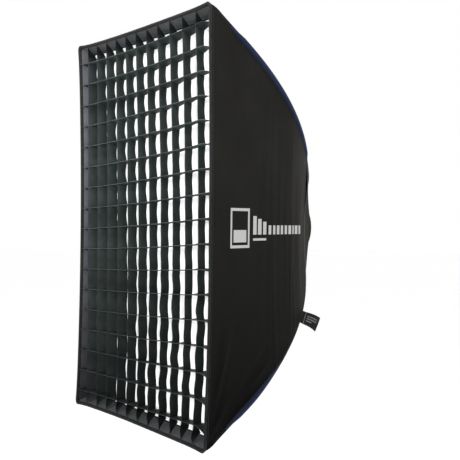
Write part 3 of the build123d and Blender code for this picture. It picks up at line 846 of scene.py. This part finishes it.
def strip_stations(crossings, reach):
    """Stations along a strip that ends at its reach both ways: eight to a cell, and one at the bowl's middle.
    Gives them with the limits of the cells, and each station's cell and share of the way across it."""
    knots = np.array([-reach, *crossings, reach])
    spans = [np.linspace(a, b, 9)[:-1] for a, b in zip(knots, knots[1:])]
    values = np.unique(np.concatenate(spans + [[reach], [0.0]]))
    cell = np.clip(np.searchsorted(knots, values, side="right") - 1, 0, len(knots) - 2)
    return knots, values, cell, (values - knots[cell]) / (knots[cell + 1] - knots[cell])


def strip_surface(values, front, back, place, vertical):
    """Points of a strip from its front edge to its back edge, with its curl across the depth."""
    u = np.linspace(0, 1, STRIP_STATIONS)
    depth = GRID_FRONT + u[None, :] * GRID_T
    shift = front[:, None] * (1 - u) ** 1.3 + back[:, None] * u**1.3
    along = np.broadcast_to(values[:, None], shift.shape)
    across = place + shift
    x, z = (across, along) if vertical else (along, across)
    y = depth - SEAT_DEPTH + front_bow(x / HALF["x"], z / HALF["z"], depth)
    return np.stack([x, y, z], -1)


def end_reach(key, share, depth):
    """Where the strips end: on the grid's border, which follows the drawn-in walls."""
    return wall_reach(key, depth, share, GRID_INSET)


def upright(column, rng):
    x0 = CELL * column
    tx = x0 / HALF["x"]
    rows = CELL * np.arange(-ROWS, ROWS + 1)
    reach = float(end_reach("z", tx, GRID_FRONT))
    knots, values, cell, share = strip_stations(rows + hang(x0, rows, **FRONT_RISE), reach)
    cells = len(knots) - 1

    def scatter():
        return np.array([rng.uniform(-1, 1) for _ in range(cells)])

    middles = (knots[1:] + knots[:-1]) / 2 / HALF["z"]
    high, low = ramp(middles, -0.1, 0.5), ramp(-middles, 0.05, 0.4)
    left = ramp(-tx, -0.6, 0.3)
    bow = -(0.0014 + 0.0026 * high + 0.0042 * left) * (1 - low) * (1 + 0.2 * scatter())
    bow = bow + low * 0.0036 * scatter()
    wave = 0.0006 * scatter() - low * (0.0030 + 0.0032 * scatter())
    turn = (0.0007 + 0.0026 * low * ramp(tx, -0.5, 0.3)) * scatter()
    bump, swing = np.sin(np.pi * share) ** 1.2, np.sin(2 * np.pi * share)
    front = hang(x0, values, **FRONT_LEAN) + wave[cell] * bump + turn[cell] * swing
    back = hang(x0, values, **BACK_LEAN) + (bow[cell] + 0.6 * wave[cell]) * bump + turn[cell] * swing
    back = back + (front - back + TOP_SPREAD) * ramp(values, CELL * (ROWS - 0.5), reach)
    points = trim_ends(strip_surface(values, front, back, x0, True), 2, "z", tx)
    into_depth = np.linspace(0, 1, STRIP_STATIONS)[None, :]
    for last, slant, sign in ((0, END_SLANT[0], -1), (cells - 1, END_SLANT[1], 1)):
        towards_end = np.where(cell == last, share if sign > 0 else 1 - share, 0.0)[:, None]
        points[..., 2] -= sign * slant * towards_end * into_depth
    return points, values


def level(row, rng):
    z0 = CELL * row
    tz = z0 / HALF["z"]
    columns = CELL * np.arange(-COLUMNS, COLUMNS + 1)
    reach = float(end_reach("x", tz, GRID_FRONT))
    knots, values, cell, share = strip_stations(columns + hang(columns, z0, **FRONT_LEAN), reach)
    cells = len(knots) - 1
    bump = np.sin(np.pi * share) ** 1.2
    wave = np.array([rng.uniform(-1, 1) for _ in range(cells)]) * 0.0014
    slack = np.array([rng.uniform(0.0, 0.0025) for _ in range(cells)]) * (1 + abs(tz))
    end = ramp(np.abs(values) / reach, 0.88, 1.0) ** 1.5
    right_end = end * (values > 0)
    upper, lower, middle = float(ramp(tz, 0.15, 0.5)), float(ramp(-tz, 0.4, 0.9)), 1 - tz**2
    front = hang(values, z0, **FRONT_RISE) + 0.4 * wave[cell] * bump
    front = front - END_WEDGE * right_end * (0.7 * upper + 0.8 * lower)
    back = hang(values, z0, **BACK_RISE) + (wave + slack)[cell] * bump
    back = back - END_WEDGE * (right_end * 0.8 * lower + end * middle * (1 - upper) - 0.3 * right_end * upper)
    points = strip_surface(values, front, back, z0, False)
    return trim_ends(points, 0, "x", tz), values


def trim_ends(points, axis, key, share):
    """Draws a strip's two ends in with the border behind the front edge."""
    reach = float(end_reach(key, share, GRID_FRONT))
    depth = GRID_FRONT + GRID_T * np.linspace(0, 1, STRIP_STATIONS)
    ratio = end_reach(key, share, depth) / reach
    near_end = ramp(np.abs(points[..., axis]) / reach, 0.93, 1.0)
    points[..., axis] *= 1 + (ratio[None, :] - 1) * near_end
    return points


def strip_group(name, strips, node, vertical):
    """Several strips as one piece, each with the sign of its outer end. They get a worn edge with a painted
    highlight at that end and along the front, where the level ones get more of it."""
    uvs = []
    for points, outer_end in strips:
        uv = metric_uv(points)
        from_end = uv[:, 0].max() - uv[:, 0] if outer_end > 0 else uv[:, 0]
        uv[:, 1] = np.minimum(uv[:, 1] + EDGE_WEAR_AND_HIGHLIGHT * (0.6 if vertical else 0.2), from_end * 0.5)
        uvs += [uv, uv]
    verts, faces = joined(sheet_solid(points, grid_normals(points), STRIP_T) for points, _ in strips)
    piece = new_object(name, verts, faces, GRID, np.concatenate(uvs))
    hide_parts(node)
    return piece


def build_grid():
    """Uprights and level strips that cross, each cut at the midlines so that it can fold."""
    rng = random.Random(41)
    for node, make, count, vertical in (
        ("grid_strips_vertical", upright, COLUMNS, True), ("grid_strips_horizontal", level, ROWS, False)
    ):
        groups = {}
        for number in range(-count, count + 1):
            points, values = make(number, rng)
            middle = int(np.argmin(np.abs(values)))
            for sign, part in ((-1, points[: middle + 1]), (1, points[middle:])):
                side = (number > 0) - (number < 0)
                signs = (side, sign) if vertical else (sign, side)
                groups.setdefault(signs, []).append((part, sign))
        for (sx, sz), strips in groups.items():
            if sx and sz:
                corner = corner_of(sx, sz)
                fold_with(strip_group(f"{node}_{corner}", strips, node, vertical))
            else:
                tail = "upper" if sz > 0 else "lower" if sz < 0 else "right" if sx > 0 else "left"
                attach(strip_group(f"{node}_middle_{tail}", strips, node, vertical), "hub")


def make_bands():
    """Bands sewn inside the front lip: the grid's own border, and the loop tape behind it."""
    bands = [
        ("grid_border", (GRID_FRONT + 0.0045, GRID_FRONT + GRID_T), 0.0040, 0.0008, "grid_fabric"),
        ("lip_loop_tape", (0.008, 0.036), 0.0013, 0.0009, "loop_tape"),
    ]
    for node, depths, inset, thickness, slot in bands:
        for side in SIDES:
            key, sign = SIDES[side]
            # the top and bottom lips get the same tape painted darker: painted shade
            finish = TAPE if key == "x" else SHADED_LEVEL_TAPE
            for corner, half_sign in halves(side):
                points = wall_points(side, half_sign, np.linspace(*depths, 8), inset, 60)
                outward = (sign, 0, 0) if key == "x" else (0, 0, sign)
                piece = sheet_object(f"{node}_{side}_{corner}", points, thickness, finish, outward)
                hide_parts(node)
                fold_with(piece)


def round_corners(co, depth):
    """Draws square corners in to arcs, wholly at the front and less further back."""
    centre = np.array([HALF["x"] - CORNER_ROUND, HALF["z"] - CORNER_ROUND])
    beyond = np.maximum(np.abs(co[:, (0, 2)]) - centre, 0)
    square, distance = beyond.max(1), np.hypot(beyond[:, 0], beyond[:, 1])
    ratio = np.where(distance > 0, square / np.maximum(distance, 1e-9), 1.0)
    amount = np.clip(1 - depth / ROUND_FADE, 0, 1)
    drawn = beyond * (1 - (1 - ratio) * amount)[:, None]
    co[:, (0, 2)] += np.sign(co[:, (0, 2)]) * (drawn - beyond)


def settle_cloth():
    """Moves the front of all cloth to where it really hangs: corners pushed out by the ribs, edges slack."""
    for obj in bpy.context.scene.objects:
        if obj.type != "MESH" or obj.name in NODES or obj.name == "floor":
            continue
        co = places(obj)
        depth = co[:, 1] + SEAT_DEPTH
        fade = np.clip(1 - depth / SETTLE_FADE, 0, 1) ** 2
        tx, tz = np.clip(co[:, 0] / HALF["x"], -1, 1), np.clip(co[:, 2] / HALF["z"], -1, 1)
        left, low, high = np.clip(-tx, 0, 1), np.clip(-tz, 0, 1), np.clip(tz, 0, 1)
        co[:, 0] += CORNER_FLARE * tx**3 * tz**12 * fade
        co[:, 2] += CORNER_FLARE * tz**3 * tx**12 * fade
        co[:, 2] -= (LOW_LEFT_DROP * left**1.5 * low**3 + TOP_SAG * high**3 * (1 - tx**2)) * fade
        co[:, 1] -= (LEFT_FORWARD + LEFT_TILT * tz) * left**2 * fade
        co[:, 1] += (RIGHT_BACK + RIGHT_LOW * np.sin(np.pi * low)) * np.clip(tx, 0, 1) ** 2 * fade
        if not obj.name.startswith("front_hem"):
            round_corners(co, depth)
        obj.data.vertices.foreach_set("co", co.ravel())
        obj.data.update()


# ---------------------------------------------------------------- seams, collar, tag and small parts
def seam_path(corner, depths, inset):
    """Along a corner seam, set in square to it in the rib's plane."""
    sx, sz = CORNERS[corner]
    reach = math.hypot(HALF["x"], HALF["z"])
    rate = shrink_rate(reach, depths)
    length = np.hypot(1, rate)
    rho = reach * size_factor(depths) - inset / length
    y = depths - SEAT_DEPTH - inset * rate / length
    return np.stack([sx * rho * math.cos(DIAGONAL), y, sz * rho * math.sin(DIAGONAL)], 1)


def make_piping():
    """Blue sleeves along the corner seams. The lower two lean over towards the bottom wall further back."""
    depths = wall_depths(0.070, PANEL_END, 90)
    for corner, (sx, sz) in CORNERS.items():
        aside = np.array((-sx * math.sin(DIAGONAL), 0, sz * math.cos(DIAGONAL)))
        out = PIPING_OUT + (0.0018 * np.exp(-(((depths - 0.17) / 0.06) ** 2)) if sz < 0 else 0.0)
        path = seam_path(corner, depths, PIPING_R - out)
        lean = (0.0090 * ramp(depths, 0.17, 0.31) if sz < 0 else 0.0008 * ramp(depths, 0.3, 0.4)) - 0.0016
        path = path + aside * lean[:, None]
        front_end = ramp(depths, depths[0] - 0.008, depths[0] + 0.045)
        rear_end = ramp(-depths, -PANEL_END - 0.004, -0.40 if sz > 0 else -0.36)
        ends = np.minimum(front_end, rear_end)
        cord = tube("seam_piping_" + corner + "_sleeve", path, PIPING_R * (0.3 + 0.7 * ends), PIPING)
        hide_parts("seam_piping_" + corner)
        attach(cord, "rib_" + corner)


def collar_ring(depth, half_x, half_z, radius):
    p = quarter_ring(half_x, half_z, radius, 16, 16)
    return np.stack([p[:, 0], np.full(len(p), depth - SEAT_DEPTH), p[:, 1]], 1)


def drawn_in(ring, depth, half_x, half_z):
    """Draws a ring of the collar in between the ribs, as the walls are at that depth."""
    tx, tz = ring[:, 0] / half_x, ring[:, 2] / half_z
    moved = ring.copy()
    for axis, key, near, share in ((0, "x", tx, tz), (2, "z", tz, tx)):
        rate = shrink_rate(HALF[key], depth)
        pull = wall_pull(depth, share) * ramp(near, 0.85, 1.0) / math.hypot(1, rate)
        moved[:, axis] += pull
        moved[:, 1] += pull * rate
    return moved


def make_collar():
    """The reinforced cloth between the walls and the hub, with its sewn edge and elastic hem."""
    outline = []
    for depth, out, radius in (
        (PANEL_END - 0.006, 0.0004, 0.004), (PANEL_END, 0.0006, 0.006), (COLLAR_MID_DEPTH, 0.0, 0.012)
    ):
        size = (depth, float(half_at("x", depth)) + out, float(half_at("z", depth)) + out)
        outline.append(drawn_in(collar_ring(*size, radius), *size))
    outline.append(collar_ring(COLLAR_END_DEPTH, COLLAR_R, COLLAR_R, COLLAR_R - 0.0002))
    rows = []
    for start, end, count in zip(outline, outline[1:], (4, 12, 16)):
        rows += [start * (1 - t) + end * t for t in np.linspace(0, 1, count, endpoint=False)]
    rows.append(outline[-1])
    row = np.linspace(0, 1, len(rows))[:, None, None]
    column = np.arange(len(rows[0]))[None, :, None] / len(rows[0])
    gather = 0.0011 * np.sin(column * 2 * np.pi * 9)
    gather = gather * ramp(row, 0.55, 1.0) ** 1.5 * (1 - ramp(row, 0.97, 1.0))
    for corner, (sx, sz) in CORNERS.items():
        points = np.array(rows) * np.array((sx, 1, sz))
        points = points + grid_normals(points) * gather
        rho = np.hypot(points[..., 0], points[..., 2])
        billow = np.exp(-(((rho - 0.150) / 0.034) ** 2)) * ramp(np.abs(points[..., 2]), 0.0, 0.07)
        points[..., 1] += COLLAR_BILLOW * (1.0 if sz > 0 else 0.3) * billow
        piece = sheet_object("rear_collar_cloth_" + corner, points, 0.0011, COLLAR, (sx, 1.5, sz))
        upper_or_lower, left_or_right = corner.split("_")
        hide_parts("rear_collar_" + left_or_right, "rear_collar_" + upper_or_lower)
        fold_with(piece, collar_share)
    ring = [
        (0.0722 * math.cos(a), COLLAR_END_DEPTH + 0.0018 - SEAT_DEPTH, 0.0722 * math.sin(a))
        for a in np.linspace(0, 2 * math.pi, 97)
    ]
    band = closed_roll("collar_hem_band_roll", np.array(ring[:-1]), (0.0014, 0.0026), ELASTIC, 12, 0.16)
    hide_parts("collar_hem_band")
    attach(band, "hub")


def closed_roll(name, path, half_size, finish, sides, gather=0.0):
    """A roll along a closed path. Its half sizes are out from the path's centre and square to that, and it is
    gathered outwards as an elastic hem is."""
    count = len(path)
    tangents = unit(np.roll(path, -1, 0) - np.roll(path, 1, 0))
    verts, uv = [], []
    for i, (p, t) in enumerate(zip(path, tangents)):
        out = p - path.mean(0)
        out = unit(out - t * (out @ t))
        up = np.cross(t, out)
        wave = 1 + gather * math.sin(2 * math.pi * HEM_GATHERS * i / count)
        for k in range(sides):
            a = 2 * math.pi * k / sides
            verts.append(p + out * half_size[0] * wave * math.cos(a) + up * half_size[1] * math.sin(a))
            uv.append((i * 0.0047, k * 0.001))
    return new_object(name, verts, ring_faces(count, sides, closed=True), finish, uv)


def make_pockets():
    """The sewn pockets that hold the rib tips, one in each front corner."""
    for corner in CORNERS:
        path = seam_path(corner, np.linspace(0.075, 0.052, 10), 0.0125)
        pocket = tube("corner_pocket_" + corner, path, POCKET_R, COLLAR)
        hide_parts("corner_pockets")
        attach(pocket, "rib_" + corner)


def make_tag():
    """A cloth tag sewn into the lower right seam, with a slight curl, a stitched fold and plain bars."""
    ends = seam_path("bottom_right", np.array([TAG_DEPTH, TAG_DEPTH - 0.02]), 0.002)
    along = unit(ends[1] - ends[0])
    radial = np.array((math.cos(DIAGONAL), 0, -math.sin(DIAGONAL)))
    across = unit(np.cross(along, radial))
    outward = np.cross(across, along)
    outward *= np.sign(outward @ (radial + np.array((0, 1, 0))))

    def surface(u, v):
        curl = 0.0040 * np.sin(u * 2.4) ** 2 + 0.0014 * np.sin(v * math.pi) * u
        place = ends[0] + outward * (u * TAG_SIZE[1] * (1.10 - 0.10 * v))[..., None]
        place = place + along * ((v + u * (0.28 * v - 0.20)) * TAG_SIZE[0])[..., None]
        return place + across * curl[..., None]

    def piece(name, u_span, v_span, lift, thickness, finish):
        u, v = lattice(np.linspace(*u_span, 26), np.linspace(*v_span, 20))
        points = surface(u, v)
        normals = grid_normals(points)
        normals *= np.sign((normals * TAG_FACING).sum())
        obj = sheet_object(name, points + normals * lift, thickness, finish, tuple(TAG_FACING))
        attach(obj, "rib_bottom_right")
        return obj

    tag = piece("sewn_tag_cloth", (0, 1), (0, 1), 0.0, 0.0010, TAG)
    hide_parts("sewn_tag")
    piece("sewn_tag_fold", (0.20, 0.23), (0.0, 1.0), 0.0003, 0.0006, TAG_PRINT)
    for number, (low, high, reach) in enumerate(((0.28, 0.36, 0.86), (0.46, 0.54, 0.86), (0.64, 0.72, 0.62))):
        piece(f"sewn_tag_bar_{number}", (0.32, reach), (low, high), 0.0002, 0.0004, TAG_PRINT)


def make_straps():
    """Elastic straps and clips that hold the inner baffle's corners out towards the ribs."""
    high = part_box("inner_baffle")[1]
    angle = math.atan2(high.z, high.x)
    start = math.hypot(high.x, high.z) - 0.012
    turn = np.linspace(0, 2 * math.pi, 33)[:-1, None]
    for corner, (sx, sz) in CORNERS.items():
        radial = np.array((sx * math.cos(angle), 0, sz * math.sin(angle)))
        side = np.cross(radial, (0, 1, 0))
        u, v = lattice(np.linspace(start, STRAP_END, 24), np.linspace(-0.006, 0.006, 6))
        base = np.array((0, BAFFLE_DEPTH - SEAT_DEPTH - 0.0012, 0))
        points = base + radial * u[..., None] + side * v[..., None]
        strap = sheet_object("baffle_strap_" + corner, points, 0.0010, ELASTIC, (0, -1, 0))
        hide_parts("baffle_straps")
        fold_with(strap)
        ring = base + radial * (STRAP_END + 0.0072 + CLIP_HALF[0] * np.cos(turn))
        ring = ring + side * CLIP_HALF[1] * np.sin(turn)
        clip = closed_roll("baffle_clip_" + corner, ring, (0.0011, 0.0011), NYLON, 10)
        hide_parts("baffle_clips")
        fold_with(clip)


def patch(side, corners, lift):
    """A four-cornered patch on a wall's outer face, from corners given as (depth, height along the wall)."""
    u, v = lattice(np.linspace(0, 1, 10), np.linspace(0, 1, 10))
    weights = ((1 - u) * (1 - v), u * (1 - v), u * v, (1 - u) * v)
    flat = sum(weight[..., None] * np.array(corner) for weight, corner in zip(weights, corners))
    depth, place = flat[..., 0], flat[..., 1]
    share = place / half_at(OTHER[SIDES[side][0]], depth)
    return wall_surface(side, depth, share, 0.0, FOLDS[side], lift)


def print_shapes():
    """A plain emblem for the side wall, above and below its midline: a half-filled frame and rows of bars."""
    upper, lower = [], []
    inner, outer, bar = 0.036, 0.042, 0.006
    start, end = 0.080, 0.152
    for shapes, way in ((upper, 1), (lower, -1)):
        shapes.append(((start, 0.0), (start + bar, way * outer)))
        shapes.append(((end - bar, 0.0), (end, way * outer)))
        shapes.append(((start + bar, way * inner), (end - bar, way * outer)))
    lower.append(((start + 2 * bar, -0.030), (end - 2 * bar, -0.004)))
    for number in range(3):
        low = 0.166 + 0.019 * number
        upper.append(((low, 0.0), (low + 0.013, 0.026 - 0.006 * number)))
        lower.append(((low, -0.014), (low + 0.013, 0.0)))
    for number in range(9):
        low = 0.226 + 0.0175 * number
        upper.append(((low, 0.0), (low + 0.0105, 0.006)))
        lower.append(((low, -0.014), (low + 0.0105, 0.0)))
    lower.append(((0.166, -0.027), (0.217, -0.022)))
    return {"top_right": upper, "bottom_right": lower}


def make_print():
    for corner, shapes in print_shapes().items():
        solids, uvs = [], []
        for (d0, p0), (d1, p1) in shapes:
            points = patch("right", ((d0, p0), (d1, p0), (d1, p1), (d0, p1)), PRINT_T)
            if grid_normals(points)[..., 0].mean() < 0:
                points = points[:, ::-1]
            solids.append(sheet_solid(points, grid_normals(points), PRINT_T * 1.3))
            uvs += [metric_uv(points)] * 2
        emblem = new_object("wall_print_" + corner, *joined(solids), PRINT, np.concatenate(uvs))
        fold_with(emblem)


STITCH_FACES = ((3, 2, 1, 0), (4, 5, 6, 7), (0, 1, 5, 4), (1, 2, 6, 5), (2, 3, 7, 6), (3, 0, 4, 7))


def stitch_line(path, outward):
    """Boxes of thread along a path: each stitch is a short low block that lies on the cloth."""
    lengths = path_lengths(path)
    stitches = []
    for number in range(int(lengths[-1] / STITCH_PITCH)):
        span = np.array((0.12, 0.72)) * STITCH_PITCH + number * STITCH_PITCH
        a, b = (np.array([np.interp(v, lengths, path[:, k]) for k in range(3)]) for v in span)
        out = unit(np.array([np.interp(span.mean(), lengths, outward[:, k]) for k in range(3)]))
        side = unit(np.cross(b - a, out)) * STITCH_W / 2
        low, high = out * -0.0002, out * STITCH_W * 0.6
        taper = (b - a) * 0.15
        verts = [a - side + low, a + side + low, b + side + low, b - side + low]
        verts += [a - side * 0.5 + high + taper, a + side * 0.5 + high + taper]
        verts += [b + side * 0.5 + high - taper, b - side * 0.5 + high - taper]
        stitches.append((verts, STITCH_FACES))
    return joined(stitches)


def make_stitches():
    """Thread along the hem and along both edges of every wall."""
    depths = np.linspace(0.03, PANEL_END - 0.004, 160)
    for corner in CORNERS:
        seams = []
        for side in SIDES:
            if corner not in dict(halves(side)):
                continue
            sign = dict(halves(side))[corner]
            wide = HALF[OTHER[SIDES[side][0]]]
            for d, t in (
                (np.full(120, 0.0115), np.linspace(0, 0.97, 120)),
                (depths, 1 - 0.0055 / (wide * size_factor(depths))),
                (np.full(60, PANEL_END - 0.004), np.linspace(0, 0.95, 60)),
            ):
                path = wall_surface(side, d, t * sign, 0.0, FOLDS[side])
                outward = wall_surface(side, d, t * sign, 0.0, FOLDS[side], 0.001) - path
                seams.append(stitch_line(path, outward))
        thread = new_object("stitches_" + corner, *joined(seams), THREAD)
        fold_with(thread)


# ---------------------------------------------------------------- build
make_camera()
make_stage()
dress_cad_nodes()
make_springs()
FOLDS = {side: Folds(7 + i, SIDES[side][0], FOLD_HEIGHT) for i, side in enumerate(SIDES)}
SHELL_DEPTHS = wall_depths(HEM_DEPTH - 0.002, PANEL_END, 110)
make_hem()
make_walls("shell_panel", SHELL_DEPTHS, 0.0, 0.0010, SHELL, 72)
LINING_DEPTHS = wall_depths(DIFFUSER_DEPTH + 0.002, PANEL_END, 60)
make_walls("lining_panel", LINING_DEPTHS, 0.0030, NYLON_T, LINING, 44)
make_straps()
make_diffusers()
build_grid()
make_bands()
make_piping()
make_collar()
make_pockets()
make_tag()
make_print()
make_stitches()
settle_cloth()
